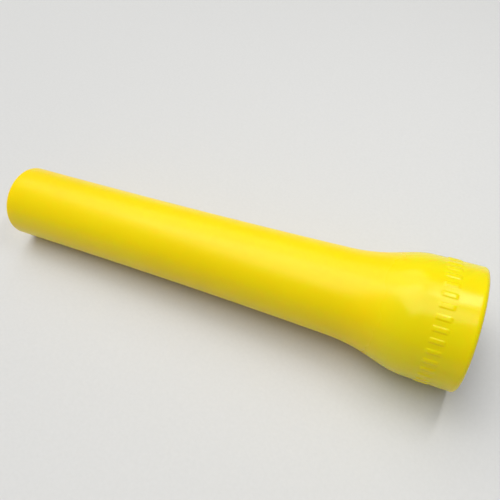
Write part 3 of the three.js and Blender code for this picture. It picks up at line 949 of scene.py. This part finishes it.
def led():
    """The LED on its board: a square package with a clear dome, inside a centring ring."""
    board = turned("led_base", plate(LED_BOARD_BACK, LED_BOARD_FRONT, LED_BOARD_RADIUS), 0.1)
    drill_wire_holes(board, LED_BOARD_BACK, LED_BOARD_FRONT)
    finish_piece(board, led_board_white, "led_board")

    back, size, height, dome_radius = LED_BOARD_FRONT + 0.05, 5, 0.9, 2.1
    package = block("led_package", back, (height, size, size), (0, 0), 0.18)
    finish_piece(package, led_board_white)
    base = back + height
    dome_outline = [
        (base - 0.2, 0),
        (base - 0.2, dome_radius),
        *arc(base, 0, dome_radius, 90, 0, 14)[:-1],
        (base + dome_radius, 0),
    ]
    dome = revolve("led_dome", dome_outline, 64, sharp=60)
    finish_piece(dome, led_phosphor, "led_emitter")

    gasket = turned("led_centring_ring", plate(back, CUP_BACK - GAP, 6.4, 4.2), 0.15)
    finish_piece(gasket, white_nylon, "led_gasket")


def led_wires():
    """Two wires from the driver to the LED board, each ending in a drop of solder."""
    ends = (("positive", 1, red_insulation), ("negative", -1, black_insulation))
    for name, side, material in ends:
        offset, bow = side * WIRE_OFFSET, 0.25
        start, end = DRIVER_FRONT + 0.25, LED_BOARD_FRONT + 0.35
        points = [(start, offset, 0)]
        for along, share in line((start, 0), (end, 1), 24):
            y = offset - side * bow * math.sin(2 * math.pi * share)
            points.append((along, y, bow * math.sin(math.pi * share)))
        wire = sweep(f"wire_{name}", points, WIRE_RADIUS, 16)
        finish_piece(wire, material, f"led_wire_{name}")
        for place, low in (("board", LED_BOARD_FRONT + 0.02), ("driver", DRIVER_FRONT + 0.04)):
            drop = [(0, 0.95), (0.25, 0.55), (0.75, 0.6), (0.75, 0)]
            solder_drop(f"solder_{place}_{name}", "flashlight", low, offset, drop, 10)


def driver():
    board = turned("driver_plate", plate(DRIVER_BACK, DRIVER_FRONT, DRIVER_RADIUS), 0.12)
    finish_piece(board, circuit_board, "driver_board")

    face = DRIVER_FRONT + 0.05
    choke_centre, choke_width, choke_base, choke_cap = 3.6, 5, 0.7, 0.75
    for name, low, height, nodes in (("choke_core", face, choke_base, ["driver_inductor"]),
                                     ("choke_cap", face + 2.0, choke_cap, [])):
        flange = block(name, low, (height, choke_width, choke_width), (0, choke_centre), 0.3)
        finish_piece(flange, black_component, *nodes)
    winding, winding_radius, winding_turns, winding_steps = [], 1.95, 4, 32
    for i in range(winding_turns * winding_steps + 1):
        angle = 2 * math.pi * i / winding_steps
        climb = 0.9 + 0.9 * i / (winding_turns * winding_steps)
        z = choke_centre + winding_radius * math.sin(angle)
        winding.append((face + climb, winding_radius * math.cos(angle), z))
    coil_wire = sweep("choke_winding", winding, 0.13, 10)
    finish_piece(coil_wire, gold_plated_spring)

    chip_centre = -4
    chip = block("controller_chip", face + 0.15, (1.1, 4, 4.4), (0, chip_centre), 0.12)
    finish_piece(chip, black_component, "driver_controller")
    for side, side_name in ((-1, "left"), (1, "right")):
        for i in range(4):
            place = side * 2.25, chip_centre + (i - 1.5) * 1.1
            leg = block(f"chip_leg_{side_name}_{i + 1}", face, (0.5, 0.7, 0.4), place, 0.08)
            finish_piece(leg, solder, slot="nickel_plate")

    ring_back = BODY_FRONT + 0.9
    lock_ring("driver_ring", "flashlight", ring_back, DRIVER_BACK - GAP, DRIVER_RADIUS, ring_back,
              "driver_retaining_ring")
    back, front = CELL_CAP_FRONT + GAP, DRIVER_BACK - 0.05
    contact = coil("contact_spring", back, front, radii=(1.7, 2.6), turns=3.5, wire_radius=0.35)
    finish_piece(contact, gold_plated_spring, "positive_contact_spring")


# -------------------- the body and its battery


def seal_groove(along):
    half = SEAL_WIRE + SEAL_PLAY
    return groove(along - half, along + half, THREAD_RADIUS, SEAL_FLOOR, 0, 0.4, 0.08)


def grip_groove(start):
    floor = BODY_RADIUS - GROOVE_DEPTH
    return groove(start, start + GROOVE_WIDTH, BODY_RADIUS, floor, 0.4, 0.3, 0.15)


def body_tube():
    """The grip: two bands of diamond knurling between plain grooves, with a thread at each end."""
    first, middle, last = GRIP_GROOVES
    land = 0.8
    bands = [(first + GROOVE_WIDTH + land, middle - land), (middle + GROOVE_WIDTH + land, last - land)]
    step = 2 * math.pi * BODY_RADIUS / KNURL_COUNT / KNURL_STEPS

    def band_line(low, high):
        count = int((high - low) / step) + 1
        return [*[(low + i * step, BODY_RADIUS) for i in range(count)], (high, BODY_RADIUS)]

    edge, chamfer = 0.4, 0.3
    thread_inset = SEAL_WIRE + SEAL_PLAY + 0.2
    tail_thread = BODY_BACK + chamfer, TAIL_SEAL - thread_inset
    head_thread = HEAD_SEAL + thread_inset, BODY_FRONT - chamfer
    outline = [
        (BODY_BACK, BODY_BORE + chamfer),
        (BODY_BACK, THREAD_RADIUS - chamfer),
        (tail_thread[0], THREAD_RADIUS),
        *thread_line(*tail_thread, THREAD_RADIUS),
        *seal_groove(TAIL_SEAL),
        (GRIP_BACK, THREAD_RADIUS),
        *arc(GRIP_BACK + edge, BODY_RADIUS - edge, edge, 180, 90, 4),
        *grip_groove(first),
        *band_line(*bands[0]),
        *grip_groove(middle),
        *band_line(*bands[1]),
        *grip_groove(last),
        *arc(GRIP_FRONT - edge, BODY_RADIUS - edge, edge, 90, 0, 4),
        (GRIP_FRONT, THREAD_RADIUS),
        *seal_groove(HEAD_SEAL),
        *thread_line(*head_thread, THREAD_RADIUS),
        (BODY_FRONT, THREAD_RADIUS - chamfer),
        (BODY_FRONT, BODY_BORE + chamfer),
        (BODY_FRONT - chamfer, BODY_BORE),
        (BODY_BACK + chamfer, BODY_BORE),
    ]
    threads = both(
        thread(*tail_thread, THREAD_RADIUS, THREAD_DEPTH),
        thread(*head_thread, THREAD_RADIUS, THREAD_DEPTH),
    )
    turns = KNURL_COUNT * KNURL_STEPS
    tube = revolve("grip_tube", outline, turns, both(knurl(bands), threads), sharp=35)
    finish_piece(tube, anodised_aluminium, "body_tube")
    for name, along in (("head_seal", HEAD_SEAL), ("tail_seal", TAIL_SEAL)):
        seal = o_ring(f"{name}_ring", along, SEAL_RING, SEAL_WIRE, 16)
        finish_piece(seal, black_rubber, name)


def battery():
    """A wrapped cylindrical cell: film folded over both ends, a crimp, and a vented positive cap."""
    crimp, waist, fold, film = CELL_FRONT - 3, CELL_RADIUS - 0.5, 1.6, 0.12
    crimp_sides = [(crimp - 0.3, CELL_RADIUS), (crimp - 0.3, waist), (crimp, waist)]
    crimp_sides += [(crimp + 0.3, waist), (crimp + 0.3, CELL_RADIUS), (crimp + 1.0, CELL_RADIUS)]
    outline = [
        (CELL_BACK, CELL_RADIUS - fold),
        *arc(CELL_BACK + 0.6, CELL_RADIUS - 0.6, 0.6, 180, 90, 5),
        (crimp - 1.2, CELL_RADIUS),
        *bezier([(crimp - 1.0, CELL_RADIUS), *crimp_sides[:3]], 6),
        *bezier(crimp_sides[2:], 6),
        *arc(CELL_FRONT - 0.5, CELL_RADIUS - 0.5, 0.5, 90, 0, 5),
        (CELL_FRONT, CELL_RADIUS - fold),
        (CELL_FRONT - film, CELL_RADIUS - fold),
        (CELL_FRONT - film, CELL_RADIUS - fold - 0.2),
        (CELL_BACK + film, CELL_RADIUS - fold - 0.2),
        (CELL_BACK + film, CELL_RADIUS - fold),
    ]
    wrap = revolve("cell_film", outline, 96, sharp=50)
    finish_piece(wrap, cell_wrap, "battery_cell")
    for name, low, high in (("cell_base", CELL_BACK + 0.05, CELL_BACK + 0.6),
                            ("cell_top", CELL_FRONT - 0.6, CELL_FRONT - 0.05)):
        end = turned(name, plate(low, high, CELL_RADIUS - fold - 0.22), 0.1)
        finish_piece(end, nickel_plate)

    back = CELL_FRONT + 0.05
    paper_outline = plate(back, back + 0.4, CELL_RADIUS - 0.6, CELL_CAP_RADIUS + 0.5)
    paper = turned("cell_insulator", paper_outline, 0.1)
    finish_piece(paper, white_nylon, "battery_insulator")

    def vents(along, radius, turn):
        """Three slots in the cap's shoulder, through which a hot cell can vent."""
        away = abs(from_nearest(turn, 120))
        slot = (1 - smooth(away, 17, 20)) * window(along, back + 0.25, CELL_CAP_FRONT - 0.35, 0.1)
        return along, radius - 0.5 * slot if radius > 2.4 else radius

    shoulder = line((back + 0.1, CELL_CAP_RADIUS), (CELL_CAP_FRONT - 0.3, CELL_CAP_RADIUS - 0.35), 12)
    cap_outline = [(back, 0), (back, CELL_CAP_RADIUS), *shoulder[:-1],
                   *arc(CELL_CAP_FRONT - 0.3, CELL_CAP_RADIUS - 0.65, 0.3, 90, 0, 4), (CELL_CAP_FRONT, 0)]
    turns = close_turns(72, (0, 120, 240), 15, 22, 0.5)
    cap = revolve("cell_positive_cap", cap_outline, turns, vents, sharp=35)
    finish_piece(cap, nickel_plate, "battery_positive_cap")


# -------------------- the tailcap and its switch


def tailcap():
    """Four lugs stand round the button, so that the flashlight can stand on its tail."""
    hole, edge, chamfer = BUTTON_RADIUS + 0.4, 0.5, 0.6
    grip_back, grip_front = 45, 57.5
    outline = [
        (CAP_BACK, CAP_RECESS),
        (CAP_BACK, BODY_RADIUS - chamfer),
        (CAP_BACK + chamfer, BODY_RADIUS),
        (grip_back, BODY_RADIUS),
        *line((grip_back, BODY_RADIUS), (grip_front, BODY_RADIUS), 40),
        (CAP_FRONT - edge, BODY_RADIUS),
        (CAP_FRONT, BODY_RADIUS - edge),
        (CAP_FRONT, THREAD_BORE + 0.2),
        (CAP_FRONT - 0.2, THREAD_BORE),
        *thread_line(CAP_FRONT - 0.2, CAP_THREAD, THREAD_BORE),
        (CAP_THREAD, CAP_BORE),
        (CAP_CAVITY, CAP_BORE),
        (CAP_CAVITY, hole),
        (CAP_WEB, hole),
        (CAP_WEB, CAP_RECESS),
    ]
    carve = both(
        thread(CAP_THREAD, CAP_FRONT - 1.6, THREAD_BORE, -THREAD_DEPTH),
        flutes(grip_back, grip_front, floor=BODY_RADIUS - 0.1, count=16, half_turn=8, depth=0.55),
    )
    shell = turned("tail_shell", outline, 0.12, 256, carve, 35)
    slot_depth, slot_width = 2, 7
    mill(shell, CAP_BACK, slot_depth, slot_width, (45, 135))
    finish_piece(shell, anodised_aluminium, "tailcap", body="tailcap")


def tail_switch():
    hole, hole_front = 2.4, 51.2
    body_back, body_radius, body_front, half_width = 47, 6.2, BOARD_BACK - 0.05, 5.5

    def flats(along, radius, turn):
        """Two flats on the round switch body."""
        across = abs(math.sin(math.radians(turn)))
        cut_off = radius > half_width + 0.1 and across > 0.1
        return along, min(radius, half_width / across) if cut_off else radius

    outline = [
        (hole_front, 0),
        (hole_front, hole),
        (body_back, hole),
        (body_back, hole + 1.2),
        (body_back + 0.8, hole + 1.6),
        (body_back + 0.8, body_radius),
        (body_front, body_radius),
        (body_front, 0),
    ]
    body = turned("switch_body", outline, 0.2, 144, flats, 35)
    finish_piece(body, black_component, "tail_switch", body="tailcap")

    board = turned("switch_plate", plate(BOARD_BACK, BOARD_FRONT, BOARD_RADIUS), 0.12)
    finish_piece(board, circuit_board, "switch_board", body="tailcap")
    for side, name in ((1, "left"), (-1, "right")):
        drop = [(0, 0.8), (0.08, 0.5), (0.48, 0.4), (0.48, 0)]
        solder_drop(f"switch_solder_{name}", "tailcap", BOARD_FRONT + 0.02, side * 3.1, drop, 8)

    ring_front = BOARD_FRONT + GAP + 1.8
    lock_ring("switch_ring", "tailcap", BOARD_FRONT + 0.05, ring_front, BOARD_RADIUS, ring_front,
              "switch_retaining_ring")


def tail_button():
    """A domed rubber boot. Three low rings round its crown help a gloved thumb to find it."""
    dome_inside, boot_bore = 41.3, 4.6

    def crown_rings(along, radius, turn):
        if along > dome_inside - 0.1 or radius > boot_bore:
            return along, radius
        ring = 0.5 + 0.5 * math.cos(2 * math.pi * radius / 1.3)
        return along + 0.12 * ring * window(radius, 0.9, 4.3, 0.6), radius

    dome = bezier([(BUTTON_TOP, 0), (BUTTON_TOP, 4.2), (40, BUTTON_RADIUS), (42, BUTTON_RADIUS)], 44)
    outline = [
        (BUTTON_TOP, 0),
        *dome,
        *arc(BUTTON_SHOULDER - 0.3, BUTTON_RADIUS + 0.3, 0.3, 270, 360, 4),
        (BUTTON_SHOULDER, BUTTON_FLANGE - 0.15),
        *arc(BUTTON_SHOULDER + 0.2, BUTTON_FLANGE - 0.2, 0.2, 180, 90, 3),
        (BUTTON_BACK - 0.2, BUTTON_FLANGE),
        (BUTTON_BACK, BUTTON_FLANGE - 0.2),
        (BUTTON_BACK, boot_bore),
        (dome_inside + 0.3, boot_bore),
        (dome_inside, boot_bore - 0.3),
        (dome_inside, 0),
    ]
    boot = revolve("tail_boot", outline, 96, crown_rings, sharp=45)
    finish_piece(boot, black_rubber, "tail_button", body="tail_button")
    pin_back, pin_front, pin_radius, pin_head = dome_inside + 0.2, 49, 2.0, 3.2
    pin_outline = [
        (pin_back, 0),
        (pin_back, pin_head),
        (pin_back + 0.6, pin_head),
        (pin_back + 0.9, pin_radius),
        (pin_front, pin_radius),
        (pin_front, 0),
    ]
    pin = turned("switch_pin", pin_outline, 0.15, 64)
    finish_piece(pin, white_nylon, "switch_plunger", body="tail_button")


def tail_spring():
    back, front = BOARD_FRONT + 0.08, CELL_BACK - 0.05
    spring = coil("battery_spring", back, front, radii=(5.4, 3.6), turns=4.5, wire_radius=0.5)
    finish_piece(spring, gold_plated_spring, "tail_spring", body="tail_contact")


# -------------------- camera, floor and light

CAMERA_AZIMUTH, CAMERA_ELEVATION, CAMERA_ROLL = 24.76, 53.13, 2.80
CAMERA_LENS, SENSOR = 36.7, 36.0
CAMERA_PLACE = Vector((55.6, -95.5, 166.9)) * MM


def make_camera():
    data = bpy.data.cameras.new("camera")
    data.lens, data.sensor_width = CAMERA_LENS, SENSOR
    data.clip_start, data.clip_end = 0.01, 20
    camera = add_object("camera", data)
    azimuth, tilt = math.radians(CAMERA_AZIMUTH), math.radians(90 - CAMERA_ELEVATION)
    turn = Matrix.Rotation(azimuth, 4, "Z") @ Matrix.Rotation(tilt, 4, "X")
    turn @= Matrix.Rotation(math.radians(-CAMERA_ROLL), 4, "Z")
    camera.matrix_world = Matrix.Translation(CAMERA_PLACE) @ turn
    bpy.context.scene.camera = camera


def make_floor():
    """A wide plain sheet on which the cone lies."""
    half = 2.0
    mesh = bpy.data.meshes.new("floor")
    corners = [(-half, -half, 0), (half, -half, 0), (half, half, 0), (-half, half, 0)]
    mesh.from_pydata(corners, [], [(0, 1, 2, 3)])
    floor = add_object("floor", mesh)
    floor.data.materials.append(pale_floor())


def softbox(name, place, size, power, target=(0, 0, 0)):
    data = bpy.data.lights.new(name, "AREA")
    data.shape, data.size, data.size_y = "RECTANGLE", *size
    data.energy = power
    light = add_object(name, data)
    light.location = place
    direction = Vector(target) - Vector(place)
    light.rotation_mode = "QUATERNION"
    light.rotation_quaternion = direction.to_track_quat("-Z", "Y")
    light.visible_camera = False


def make_world():
    """Dim light from all round. The camera sees it about as pale as the floor's far end."""
    world = bpy.data.worlds.new("studio")
    world.use_nodes = True
    nodes, links = world.node_tree.nodes, world.node_tree.links
    seen = nodes.new("ShaderNodeLightPath").outputs["Is Camera Ray"]
    strength = nodes.new("ShaderNodeMapRange")
    strength.inputs["To Min"].default_value = 0.22
    strength.inputs["To Max"].default_value = 0.49
    links.new(seen, strength.inputs["Value"])
    background = nodes["Background"]
    background.inputs["Color"].default_value = (1, 1, 1, 1)
    links.new(strength.outputs["Result"], background.inputs["Strength"])
    bpy.context.scene.world = world


def make_lights():
    softbox("key", (-0.50, -0.30, 2.20), (2.0, 1.5), 36.5)
    softbox("back", (-0.90, 0.90, 1.85), (2.0, 1.5), 18.75)
    softbox("strip", (0.10, 0.083, 0.33), (0.03, 0.12), 0.22, (0.081, -0.003, 0.041))
    bpy.context.scene.view_settings.view_transform = "Standard"


# -------------------- the scene

make_camera()
make_floor()
make_world()
make_lights()
signal_cone()
head_housing()
bezel()
lens()
reflector()
led()
led_wires()
driver()
body_tube()
battery()
tailcap()
tail_switch()
tail_button()
tail_spring()
